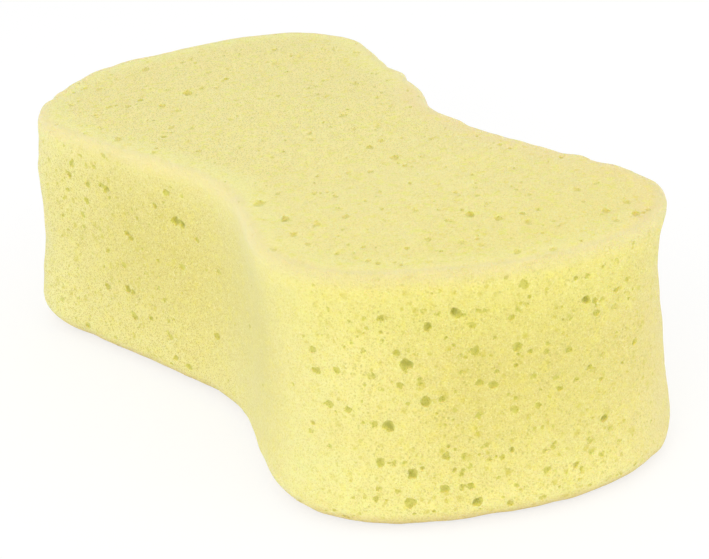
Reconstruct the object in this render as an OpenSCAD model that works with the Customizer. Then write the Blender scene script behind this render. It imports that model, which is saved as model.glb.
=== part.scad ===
// Jumbo cleaning sponge: one block of open-cell foam, cut to a bone outline.
// Two rounded lobes meet at a narrow waist, where the hand grips it.
// +X runs along the sponge towards the narrow lobe, +Z is up, and the origin
// is under the middle of the block, on the surface that it lies on.

/* [Block] */
// Overall length, measured at the foot of the walls
length = 220; // [200:1:260]
// Thickness of the foam
height = 64; // [45:1:80]

/* [Narrow lobe] */
// Width of the narrow lobe
narrow_w = 102; // [96:1:130]
// Corner radius of the narrow lobe
narrow_corner_r = 36; // [24:1:40]
// How much further out its back corner stands than its front corner
narrow_skew = 9; // [-12:1:12]

/* [Wide lobe] */
// Width of the wide lobe
wide_w = 117; // [100:1:135]
// Corner radius of the wide lobe
wide_corner_r = 31; // [24:1:42]
// How much further out its back corner stands than its front corner
wide_skew = 13; // [-14:1:14]

/* [Ends and waist] */
// Radius of the gently rounded end faces
end_r = 83; // [75:1:130]
// Width across the waist
waist_w = 81; // [64:1:88]
// Radius of the two hollows that form the waist
waist_r = 55; // [30:1:70]
// How far the waist lies from the middle, towards the narrow lobe
waist_shift = 17; // [-17:1:20]

/* [Walls] */
// How far the top edge stands in from the foot
lean = 2; // [0:0.5:5]
// How deep the wall bows in at half height, as cut foam does
bow = 2.3; // [0.5:0.1:4]
// Radius of the top rim
rim_r = 2.5; // [1:0.5:4]
// Radius of the bottom edge
foot_r = 7; // [3:0.5:9]

/* [Pores] */
// Diameter of the largest pores
pore_d = 4.6; // [3:0.1:6]
// Diameter of the smallest pores that are cut
small_pore_d = 2.4; // [1.5:0.1:2.9]
// Average distance between pores round the two lobes
lobe_pore_pitch = 13; // [11:1:30]
// Average distance between pores on the flanks, the waist and the top
side_pore_pitch = 24; // [20:1:50]

/* [Hidden] */
// Length of a facet along the round stretches
facet = 4;
// How many flat bands the foot round, the bowed wall and the rim round are drawn in
foot_bands = 3;
bow_bands = 3;
rim_bands = 2;
// Cells of foam have flat sides, and so has a pore
pore_sides = 7;
// Depth of a pore, as a share of its width
pore_depth = 0.5;
// How wide the sound foam between a pore and the nearest edge is at least
pore_edge = 0.6;

function dir(a) = [cos(a), sin(a)];
function angle_of(v) = atan2(v.y, v.x);
// The same angle, taken to within half a turn of another
function near(a, to) = a + 360 * round((to - a) / 360);
// Points along an arc, up to but without its last one, which starts what follows
function arc(centre, r, from, to, steps) =
    [for (i = [0:steps - 1]) centre + r * dir(from + (to - from) * i / steps)];
// The point at distance a from p and b from q, to the right of the way from p to q
function meeting(p, a, q, b) =
    let (d = norm(q - p), u = (q - p) / d, along = (a * a - b * b + d * d) / (2 * d))
    p + along * u + sqrt(a * a - along * along) * [u.y, -u.x];

// ---- Section through the wall: foot round, bowed wall, rim round ----
// x is how far a point lies outside the outline, so it is never above zero
bow_r = height * height / (8 * bow);
foot_c = [-foot_r, foot_r];
rim_c = [-lean - rim_r, height - rim_r];
bow_c = meeting(foot_c, bow_r + foot_r, rim_c, bow_r + rim_r);
foot_touch = angle_of(bow_c - foot_c);
rim_touch = angle_of(bow_c - rim_c);
bowed = concat(
    arc(bow_c, bow_r, 180 + foot_touch, 180 + rim_touch, bow_bands),
    [rim_c + rim_r * dir(rim_touch)]
);
wall = concat(
    arc(foot_c, foot_r, -90, 0, foot_bands),
    [[0, foot_r]],
    bowed,
    arc(rim_c, rim_r, rim_touch + (90 - rim_touch) / rim_bands, 90, rim_bands - 1),
    [[rim_c.x, height]]
);

// ---- Outline: centres of its arcs, and the angles at which they meet ----
// A lobe's corners touch its sides, and its end arc wraps round both of them
function half_span(w, r) = w / 2 - r;
function corner_x(w, r, skew) =
    let (k = half_span(w, r), h = norm([k, skew / 2]))
    length / 2 - end_r + sqrt(pow(end_r - r, 2) - h * h) * k / h;
narrow_x = corner_x(narrow_w, narrow_corner_r, narrow_skew);
wide_x = corner_x(wide_w, wide_corner_r, wide_skew);
narrow_front = [narrow_x - narrow_skew / 2, -half_span(narrow_w, narrow_corner_r)];
narrow_back = [narrow_x + narrow_skew / 2, half_span(narrow_w, narrow_corner_r)];
wide_back = [-wide_x - wide_skew / 2, half_span(wide_w, wide_corner_r)];
wide_front = [-wide_x + wide_skew / 2, -half_span(wide_w, wide_corner_r)];
narrow_end = meeting(narrow_back, end_r - narrow_corner_r, narrow_front, end_r - narrow_corner_r);
wide_end = meeting(wide_front, end_r - wide_corner_r, wide_back, end_r - wide_corner_r);
// The widest hollow that leaves a straight flank between itself and a corner
function hollow_room(corner, r) =
    let (across = corner.x - waist_shift, up = waist_w / 2 - abs(corner.y))
    r > up ? 0.95 * (across * across + up * up - r * r) / (2 * (r - up)) : waist_r;
hollow_r = min(
    waist_r,
    hollow_room(narrow_front, narrow_corner_r), hollow_room(narrow_back, narrow_corner_r),
    hollow_room(wide_front, wide_corner_r), hollow_room(wide_back, wide_corner_r)
);
waist_front = [waist_shift, -waist_w / 2 - hollow_r];
waist_back = [waist_shift, waist_w / 2 + hollow_r];

// A straight flank leaves a corner and joins a waist hollow at this angle:
// turn is -1 where the hollow comes after the corner, and 1 where it comes before
function flank_angle(corner, r, hollow, turn) =
    angle_of(hollow - corner) + turn * acos((r + hollow_r) / norm(hollow - corner));
narrow_back_angle = near(flank_angle(narrow_back, narrow_corner_r, waist_back, -1), 90);
wide_back_angle = near(flank_angle(wide_back, wide_corner_r, waist_back, 1), 90);
wide_front_angle = near(flank_angle(wide_front, wide_corner_r, waist_front, -1), 270);
narrow_front_angle = near(flank_angle(narrow_front, narrow_corner_r, waist_front, 1), -90);
narrow_end_from = angle_of(narrow_front - narrow_end);
narrow_end_to = angle_of(narrow_back - narrow_end);
wide_end_from = near(angle_of(wide_back - wide_end), 180);
wide_end_to = near(angle_of(wide_front - wide_end), 180);

// Round stretches, counter-clockwise: [centre, radius, from, to, pore pitch];
// a hollow has its centre outside the block, and a radius below zero
rounds = [
    [narrow_front, narrow_corner_r, narrow_front_angle, narrow_end_from, lobe_pore_pitch],
    [narrow_end, end_r, narrow_end_from, narrow_end_to, lobe_pore_pitch],
    [narrow_back, narrow_corner_r, narrow_end_to, narrow_back_angle, lobe_pore_pitch],
    [waist_back, -hollow_r, narrow_back_angle, wide_back_angle, side_pore_pitch],
    [wide_back, wide_corner_r, wide_back_angle, wide_end_from, lobe_pore_pitch],
    [wide_end, end_r, wide_end_from, wide_end_to, lobe_pore_pitch],
    [wide_front, wide_corner_r, wide_end_to, wide_front_angle, lobe_pore_pitch],
    [waist_front, -hollow_r, wide_front_angle, narrow_front_angle + 360, side_pore_pitch]
];
function start_of(s) = s[0] + s[1] * dir(s[2]);
function end_of(s) = s[0] + s[1] * dir(s[3]);
function arc_length(s) = abs(s[1] * (s[3] - s[2])) * PI / 180;
// Flanks are the straight stretches between a corner and a hollow: [from, to]
flanks = [for (i = [[2, 3], [3, 4], [6, 7], [7, 0]]) [end_of(rounds[i[0]]), start_of(rounds[i[1]])]];

// ---- The block: a skin of rings, one for each point of the wall's section ----
// A ring is the outline moved in to that point; its straight flanks need no points of their own
facets = [for (s = rounds) max(3, round(arc_length(s) / facet))];
function ring(at) = [
    for (i = [0:len(rounds) - 1])
        let (s = rounds[i], meets_flank = len([for (f = flanks) if (f[0] == end_of(s)) 1]))
        each [
            for (j = [0:facets[i] - 1 + meets_flank])
                let (p = s[0] + (s[1] + at.x) * dir(s[2] + (s[3] - s[2]) * j / facets[i]))
                [p.x, p.y, at.y]
        ]
];
rings = [for (at = wall) ring(at)];
around = len(rings[0]);
levels = len(rings);
// The underside and the top are fans about a point in the middle of the waist
under = levels * around;
over = under + 1;

module block()
    polyhedron(
        points = concat(
            [for (r = rings) each r],
            [[waist_shift, 0, 0], [waist_shift, 0, height]]
        ),
        faces = concat(
            [
                for (k = [0:levels - 2], j = [0:around - 1])
                    let (next = (j + 1) % around)
                    [k * around + j, (k + 1) * around + j, (k + 1) * around + next, k * around + next]
            ],
            [for (j = [0:around - 1]) [under, j, (j + 1) % around]],
            [for (j = [0:around - 1]) [over, under - around + (j + 1) % around, under - around + j]]
        )
    );

// ---- Pores: open cells, cut straight into the skin ----
// Scattered evenly over a patch: [place along, place up, diameter], few of them large
golden = 0.618034;
function part_of_one(x) = x - floor(x);
function scatter(across, up, pitch, seed) =
    let (count = round(across * up / (pitch * pitch)), r = rands(0, 1, 2 * count + 1, seed))
    [for (i = [0:1:count - 1]) [
        part_of_one((i + r[0]) * golden),
        (i + r[2 * i + 1]) / count,
        small_pore_d + (pore_d - small_pore_d) * pow(r[2 * i + 2], 3)
    ]];
// A place part of the way from one end to the other, with a pore's room left at both
function place(from, to, part, room) = from + room + part * (to - from - 2 * room);
function room(d) = d / 2 + pore_edge;

// A pore opens towards heading: a direction in plan, or undef for up
module pore(p, z, d, heading)
    translate([p.x, p.y, z])
        rotate(is_undef(heading) ? 0 : [0, 90, heading])
            cylinder(d = d, h = 2 * pore_depth * d, center = true, $fn = pore_sides);

// Places on one band of the wall, between two points of its section: [outwards, up]
function on_band(band, part, d) =
    let (z = place(band[0].y, band[1].y, part, room(d)))
    [lookup(z, [for (b = band) [b.y, b.x]]), z];

module round_pores(s, band, seed)
    for (p = scatter(arc_length(s), band[1].y - band[0].y, s[4], seed))
        let (
            at = on_band(band, p[1], p[2]),
            turn = sign(s[3] - s[2]),
            turned = place(s[2], s[3], p[0], turn * room(p[2]) / abs(s[1]) * 180 / PI)
        )
        pore(s[0] + (s[1] + at[0]) * dir(turned), at[1], p[2], turned);

module flank_pores(f, band, seed)
    for (p = scatter(norm(f[1] - f[0]), band[1].y - band[0].y, side_pore_pitch, seed))
        let (
            at = on_band(band, p[1], p[2]),
            along = (f[1] - f[0]) / norm(f[1] - f[0]),
            heading = angle_of(along) - 90
        )
        pore(
            f[0] + place(0, norm(f[1] - f[0]), p[0], room(p[2])) * along + at[0] * dir(heading),
            at[1], p[2], heading
        );

// Top pores lie in the two lobes' largest circles and on the strip between them
rim_w = lean + rim_r + room(pore_d);
function in_lobe(p, x, w) = norm(p - [x, 0]) < min(w / 2, length / 2 - abs(x)) - rim_w;
function on_top(p) =
    in_lobe(p, narrow_x, narrow_w) || in_lobe(p, -wide_x, wide_w)
    || (abs(p.y) < waist_w / 2 - rim_w && -wide_x < p.x && p.x < narrow_x);
module top_pores(seed)
    for (s = scatter(length, wide_w, side_pore_pitch, seed))
        let (p = [(s[0] - 0.5) * length, (s[1] - 0.5) * wide_w])
            if (on_top(p)) pore(p, height, s[2]);

module pores() {
    for (b = [0:bow_bands - 1]) {
        band = [bowed[b], bowed[b + 1]];
        for (i = [0:len(rounds) - 1]) round_pores(rounds[i], band, 20 * b + i);
        for (i = [0:len(flanks) - 1]) flank_pores(flanks[i], band, 20 * b + i + 10);
    }
    top_pores(100);
}

module foam_block()
    color("khaki")
        difference() {
            block();
            pores();
        }

foam_block();
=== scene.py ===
# %% [markdown]
# # A jumbo cleaning sponge
# The sponge is one block of open-cell foam, cut from a big loaf with a bone-shaped knife.
# Its solid comes packed from the workshop as a fixed frame. This lesson keeps that frame's
# size and place, and puts real foam over it: a wavy cut skin, hundreds of open pores with
# their own hollows, and a soft, slightly see-through material.
# The frame is loaded first, so that everything after it can be measured from it.

# %% Load the frame
import math

import bmesh
import bpy
import numpy as np
from mathutils import Matrix, Vector, kdtree, noise
from mathutils.bvhtree import BVHTree
from mathutils.geometry import delaunay_2d_cdt


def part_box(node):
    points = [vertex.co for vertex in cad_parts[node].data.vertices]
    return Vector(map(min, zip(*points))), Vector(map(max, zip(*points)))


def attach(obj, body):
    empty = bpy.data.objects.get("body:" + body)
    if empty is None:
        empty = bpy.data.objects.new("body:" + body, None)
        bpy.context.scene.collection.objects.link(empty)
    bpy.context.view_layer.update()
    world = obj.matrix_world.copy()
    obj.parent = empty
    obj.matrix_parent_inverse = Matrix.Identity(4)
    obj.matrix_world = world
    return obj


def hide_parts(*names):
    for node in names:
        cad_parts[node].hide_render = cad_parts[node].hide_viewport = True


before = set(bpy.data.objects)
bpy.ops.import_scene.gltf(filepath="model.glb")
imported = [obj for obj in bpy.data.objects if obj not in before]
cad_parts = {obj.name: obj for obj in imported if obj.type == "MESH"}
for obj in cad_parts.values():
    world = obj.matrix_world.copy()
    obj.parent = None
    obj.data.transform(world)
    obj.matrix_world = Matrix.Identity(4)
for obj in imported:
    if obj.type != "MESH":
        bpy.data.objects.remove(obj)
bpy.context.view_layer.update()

MM = 0.001
foot, crown = (np.array(corner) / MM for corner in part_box("foam_block"))
print("the block spans", foot.round(1), "to", crown.round(1), "mm")

# %% [markdown]
# ## The outline
# From above, the sponge is a bone: two lobes with rounded corners, a gently rounded end on
# each, and a waist where the fingers hold it. Such a knife is bent from steel strip, so its
# line is made of arcs that run into each other, with short straight flanks between.
# It could be drawn as a curve and filled. Here it is worked out as points that each carry
# the direction that faces out of the block, because then every level of the wall can be had
# by moving the same points in or out, and no seam or kink creeps in.

# %% Sizes of the bone, in millimetres
# width of a lobe, radius of its two corners, and how much further out the back one lies
LENGTH = crown[0] - foot[0]
HEIGHT = crown[2] - foot[2]
NARROW_W, NARROW_R, NARROW_SKEW = 102, 36, 9
WIDE_W, WIDE_R, WIDE_SKEW = 117, 31, 13
END_R = 83
WAIST_W, WAIST_R, WAIST_X = 81, 55, 17
print("the bone is", round(LENGTH, 1), "mm long and", round(HEIGHT, 1), "mm high")


def heading(angle):
    return np.array([math.cos(angle), math.sin(angle)])


def angle_of(way):
    return math.atan2(way[1], way[0])


def near(angle, to):
    """The same angle, taken to within half a turn of another."""
    return angle + math.tau * round((to - angle) / math.tau)


def meeting(p, a, q, b):
    """The point at distance a from p and b from q, to the right of the way from p to q."""
    way = q - p
    d = np.hypot(*way)
    along = (a * a - b * b + d * d) / (2 * d)
    u = way / d
    return p + along * u + math.sqrt(a * a - along * along) * np.array([u[1], -u[0]])


# %% Centres of the arcs
def lobe(width, radius, skew, side):
    """Centres of a lobe's front and back corners and of its end arc; side is +1 or -1."""
    k = width / 2 - radius
    h = math.hypot(k, skew / 2)
    x = LENGTH / 2 - END_R + math.sqrt((END_R - radius) ** 2 - h * h) * k / h
    front = np.array([side * x - skew / 2 * side, -k])
    back = np.array([side * x + skew / 2 * side, k])
    first, then = (back, front) if side > 0 else (front, back)
    return front, back, meeting(first, END_R - radius, then, END_R - radius)


narrow_front, narrow_back, narrow_end = lobe(NARROW_W, NARROW_R, NARROW_SKEW, 1)
wide_front, wide_back, wide_end = lobe(WIDE_W, WIDE_R, WIDE_SKEW, -1)
hollow_front = np.array([WAIST_X, -WAIST_W / 2 - WAIST_R])
hollow_back = -hollow_front * [-1, 1]
print("end arcs turn about", narrow_end.round(1), "and", wide_end.round(1))


def flank(corner, radius, hollow, turn, to):
    """Angle at which a straight flank leaves a corner and joins a waist hollow."""
    way = hollow - corner
    lean = math.acos((radius + WAIST_R) / np.hypot(*way))
    return near(angle_of(way) + turn * lean, to)


# %% Points along the bone
QUARTER = math.pi / 2
nf = flank(narrow_front, NARROW_R, hollow_front, 1, -QUARTER)
nb = flank(narrow_back, NARROW_R, hollow_back, -1, QUARTER)
wb = flank(wide_back, WIDE_R, hollow_back, 1, QUARTER)
wf = flank(wide_front, WIDE_R, hollow_front, -1, 3 * QUARTER)
ends = [
    angle_of(narrow_front - narrow_end), angle_of(narrow_back - narrow_end),
    near(angle_of(wide_back - wide_end), math.pi), near(angle_of(wide_front - wide_end), math.pi),
]
rounds = [
    (narrow_front, NARROW_R, nf, ends[0]), (narrow_end, END_R, ends[0], ends[1]),
    (narrow_back, NARROW_R, ends[1], nb), (hollow_back, -WAIST_R, nb, wb),
    (wide_back, WIDE_R, wb, ends[2]), (wide_end, END_R, ends[2], ends[3]),
    (wide_front, WIDE_R, ends[3], wf), (hollow_front, -WAIST_R, wf, nf + math.tau),
]
STEP = 1.7


def outline():
    """Points round the bone, each with its outward direction, about STEP apart."""
    places, outward = [], []
    for i, (centre, radius, start, stop) in enumerate(rounds):
        turns = np.linspace(start, stop, max(4, round(abs(radius * (stop - start)) / STEP)) + 1)
        ways = np.stack([np.cos(turns), np.sin(turns)], axis=1)
        places.append((centre + radius * ways)[:-1])
        outward.append(ways[:-1])
        after = rounds[(i + 1) % len(rounds)]
        here, there = centre + radius * ways[-1], after[0] + after[1] * heading(after[2])
        gap = np.hypot(*(there - here))
        if gap > STEP:
            parts = np.linspace(0, 1, round(gap / STEP), endpoint=False)[:, None]
            places.append(here + parts * (there - here))
            outward.append(np.repeat(ways[-1:], len(parts), axis=0))
    return np.concatenate(places), np.concatenate(outward)


bone, outward = outline()
print(len(bone), "points round the bone, across", np.ptp(bone, axis=0).round(1), "mm")

# %% [markdown]
# ## The wall
# A knife squeezes foam while it cuts, and the foam springs back, so the wall isn't straight:
# it bows in at half height, the foot is rounded, and the top edge is a small tight round.
# One section of three arcs says all that. Each of its points is a step outwards from the
# bone and a height, with the direction that faces out of the foam there.

# %% Section through the wall
LEAN, BOW, RIM_R, FOOT_R = 2, 2.3, 2.5, 7
FOOT_STEPS, BOW_STEPS, RIM_STEPS = 8, 32, 5
bow_r = HEIGHT * HEIGHT / (8 * BOW)
foot_c = np.array([-FOOT_R, FOOT_R])
rim_c = np.array([-LEAN - RIM_R, HEIGHT - RIM_R])
bow_c = meeting(foot_c, bow_r + FOOT_R, rim_c, bow_r + RIM_R)
foot_touch, rim_touch = angle_of(bow_c - foot_c), angle_of(bow_c - rim_c)


def bend(centre, radius, start, stop, steps, sign=1):
    """Points along an arc, with the outward direction at each; sign is -1 on a hollow."""
    turns = np.linspace(start, stop, steps + 1)[:-1]
    ways = np.stack([np.cos(turns), np.sin(turns)], axis=1)
    return centre + radius * ways, sign * ways


pieces = [
    bend(foot_c, FOOT_R, -QUARTER, foot_touch, FOOT_STEPS),
    bend(bow_c, bow_r, math.pi + foot_touch, math.pi + rim_touch, BOW_STEPS, -1),
    bend(rim_c, RIM_R, rim_touch, QUARTER, RIM_STEPS),
    (np.array([[rim_c[0], HEIGHT]]), np.array([[0.0, 1.0]])),
]
section, facing = (np.concatenate(part) for part in zip(*pieces))
bowed = section[FOOT_STEPS:FOOT_STEPS + BOW_STEPS, 0]
print(len(section), "levels up the wall, and it bows in to", bowed.min().round(2), "mm")

# %% [markdown]
# ## Where the knife wandered
# Two sponges from one knife are never the same, because the loaf gives way under the blade.
# Here and there this wall stands a millimetre or two further in or out than the drawing
# says. Each row below is one such place, felt most where it lies and fading round it.

# %% The wandering of the wall
# place on the bone and how far along it is felt; then how far out the wall stands there, at
# five or nine even steps from the foot up to the rim. A shorter row has five steps as well,
# and starts with the noughts that it leaves out.
STEPS_UP = 5
WANDERS = [
    ((-71, -54), 17, (0.8, 1.7, 1.6, 0.7, 0.35, 0.5, 0.45, -1.5, -2.9)),
    ((-90, -36), 14, (-0.3, -1.0)),
    ((-87, -47), 3, (-0.2, -1.2)),
    ((-93, -40), 4, (-0.6,)),
    ((-99, -31), 3, (-0.4,)),
    ((-98, -23), 11, (1.0,)),
    ((-107, -12), 4, (0.7,)),
    ((-106, 4), 16, (-0.3, -1.4)),
    ((-110, 2), 6, (-0.5,)),
    ((-104, 20), 8, (0.6,)),
    ((-101, 32), 9, (0.6,)),
    ((-97, 49), 7, (0.3, 1.2)),
    ((-86, 56), 6, (0.1, 0.6)),
    ((-74, 53), 14, (0.4, 1.1)),
    ((-44, 52), 3, (-0.6,)),
    ((-35, 50), 4, (0.3, 1.5)),
    ((-28, 49), 3, (-0.5,)),
    ((-25, 45), 9, (0.2, 0.6)),
    ((-3, 41), 9, (-0.7, -2.6)),
    ((5, 42), 3, (-0.7,)),
    ((13, 41), 4, (0.1, 1.0)),
    ((26, 39), 8, (0.1, 0.5)),
    ((34, 43), 3, (-0.3,)),
    ((52, 48), 3, (-0.2, -0.6)),
    ((57, 49), 3, (0.2, 1.1)),
    ((63, 50), 3, (-0.1, -0.5)),
    ((88, 45), 20, (-0.1, 0.4, 0.5, -0.9, 1.0)),
    ((86, 49), 6, (0.5,)),
    ((95, 43), 9, (0.0, 0.0, -0.1, 0.0, 0.1, 0.1, -0.2, -0.4, 0.3)),
    ((102, 37), 5, (1.5, -0.5, -0.3, 0.0, -0.2, 0.0, 0.0, 0.0, 0.0)),
    ((108, 2), 7, (0.4, 0.0, 0.0, 0.0, 0.0, 0.0, 0.0, 0.0, 0.0)),
    ((105, -15), 8, (-0.5, 0.0, 0.0, 0.0, 0.0)),
    ((92, -38), 18, (0.9, 0.0, 0.0, 0.0, 0.0, 0.0, 0.0, 0.0, 0.0)),
    ((82, -46), 18, (0.6, 0.0, 0.0, 0.0, 0.0)),
    ((58, -50), 7, (-0.3, -0.2, 0.0, 0.0, 0.0)),
    ((36, -44), 9, (-0.4, -0.5, -0.2, 0.0, 0.0)),
    ((-30, -49), 34, (-0.4, 0.0, 0.0, 0.0, 0.0)),
    ((-47, -55), 6, (-0.3, -0.1, 0.0, 0.0, 0.0)),
]


def wander(height):
    """How far out each point of the bone is moved at one height."""
    moved = np.zeros(len(bone))
    for place, reach, steps in WANDERS:
        steps = (0,) * (STEPS_UP - len(steps)) + steps
        felt = np.exp(-(np.hypot(*(bone - place).T) / reach) ** 2)
        moved += felt * np.interp(height, np.linspace(0, HEIGHT, len(steps)), steps)
    return moved


print("at mid height the wall wanders by up to", abs(wander(HEIGHT / 2)).max().round(2), "mm")

# %% [markdown]
# ## The skin
# The wall is the outline repeated at every level of the section, joined by four-sided
# faces. The top and the underside could be one big face each, but a wavy surface needs
# points inside it too. So each is filled with an even pattern of points, like packed coins,
# and Blender's own triangulation joins them up with the edge.

# %% Rings of the wall
around, levels = len(bone), len(section)
rings = np.zeros((levels, around, 3))
ways = np.zeros_like(rings)
for k in range(levels):
    rings[k, :, :2] = bone + outward * (section[k, 0] + wander(section[k, 1]))[:, None]
    rings[k, :, 2] = section[k, 1]
    ways[k, :, :2] = outward * facing[k, 0]
    ways[k, :, 2] = facing[k, 1]
wall_faces = []
for k in range(levels - 1):
    for j in range(around):
        a, b = k * around + j, k * around + (j + 1) % around
        wall_faces.append((a, b, b + around, a + around))
print(levels, "rings of", around, "points")

# %% Fill of the top and the underside
# how wide a coin is and how far it keeps from the edge; the triangles fill the inside only
COIN = 2.4
FROM_EDGE = 0.6 * COIN
INSIDE = 1


def fill(edge):
    """Points packed inside a closed edge, and the triangles that join them up with it."""
    low, high = edge.min(0), edge.max(0)
    rows = np.arange(low[1], high[1], COIN * math.sqrt(3) / 2)
    coins = [
        Vector((x, y))
        for i, y in enumerate(rows)
        for x in np.arange(low[0] + i % 2 * COIN / 2, high[0], COIN)
    ]
    tree = kdtree.KDTree(len(edge))
    for i, p in enumerate(edge):
        tree.insert((*p, 0), i)
    tree.balance()
    coins = [c for c in coins if tree.find((*c, 0))[2] > FROM_EDGE]
    corners = [Vector(p) for p in edge] + coins
    n = len(edge)
    loop = [(i, (i + 1) % n) for i in range(n)]
    places, _, triangles, origins, _, _ = delaunay_2d_cdt(corners, loop, [], INSIDE, 1e-6)
    return np.array(places), triangles, [o[0] for o in origins]


def cap(level, height, facing_up):
    """The filled level as new points and faces; the edge's own points are used again."""
    places, triangles, origins = fill(rings[level, :, :2])
    start = sum(len(p) for p in skin_points)
    index, extra = {}, []
    for i, origin in enumerate(origins):
        if origin < around:
            index[i] = level * around + origin
        else:
            index[i] = start + len(extra)
            extra.append((*places[i], height))
    skin_points.append(np.array(extra))
    skin_ways.append(np.tile([0, 0, 1.0 if facing_up else -1.0], (len(extra), 1)))
    for t in triangles:
        corners = [index[i] for i in t]
        skin_faces.append(tuple(corners if facing_up else corners[::-1]))


skin_points, skin_ways = [rings.reshape(-1, 3)], [ways.reshape(-1, 3)]
skin_faces = list(wall_faces)
cap(0, 0.0, False)
cap(levels - 1, HEIGHT, True)
points, ways = np.concatenate(skin_points), np.concatenate(skin_ways)
print("skin:", len(points), "points,", len(skin_faces), "faces")

# %% [markdown]
# ## The wavy cut
# No cut through foam is true. The knife wanders a little, and cells that burst at the
# surface leave shallow dips. Both are made here by moving each point of the skin along its
# own outward direction by a soft noise: long waves first, then short ones.
# Sculpting could do it by hand, but noise gives the same skin on every run. The whole skin
# is also sunk a little, so that the crests of the waves hardly rise past the frame.

# %% Waves along the skin
# height and length of each wave in millimetres, and where its noise is read
WAVES = [(0.45, 26, 3), (0.22, 9, 40), (0.12, 4, 77)]
SUNK = 0.15


def waves(p):
    """How far out the waves move a point of the skin."""
    return sum(
        high * noise.noise(Vector(p) / length + Vector((seed, 0, 0)))
        for high, length, seed in WAVES)


moves = np.array([waves(p) for p in points]) - SUNK
points = points + ways * moves[:, None]
points[:, 2] = np.maximum(points[:, 2], 0)
print("the skin moves by", moves.min().round(2), "to", moves.max().round(2), "mm")


# %% A mesh from points and faces
def mesh_from(name, places, faces):
    """A new object, from points in millimetres and the faces between them."""
    mesh = bpy.data.meshes.new(name)
    mesh.from_pydata((np.asarray(places) * MM).tolist(), [], faces)
    mesh.validate()
    body = bpy.data.objects.new(name, mesh)
    bpy.context.scene.collection.objects.link(body)
    return body


foam = mesh_from("foam_block_skin", points, skin_faces)
skin_tree = BVHTree.FromPolygons([tuple(p) for p in points], skin_faces)
print("the uncut foam has", len(foam.data.polygons), "faces")

# %% [markdown]
# ## Where pores open
# Foam rises in the mould as a froth, and here and there a few bubbles run together into a
# big one. Where the knife meets such a bubble, a pore lies open. They could be painted on,
# but a painted pore looks flat from the side. So each one is a real hollow, cut out of the
# block by a lumpy ball.
# The largest pores give a sponge its face. They are noted one by one, as a maker would who
# copies a real sponge: a pore in the wall by the way it faces from the middle of its lobe
# and by its height, and a pore in the top by where it lies.

# %% The largest pores of the walls
# how far the middle of a lobe is from the middle of the sponge; then shares of a width
LOBE_X = 60
FAINT, OPEN, DEEP = 0.18, 0.3, 0.45
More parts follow.
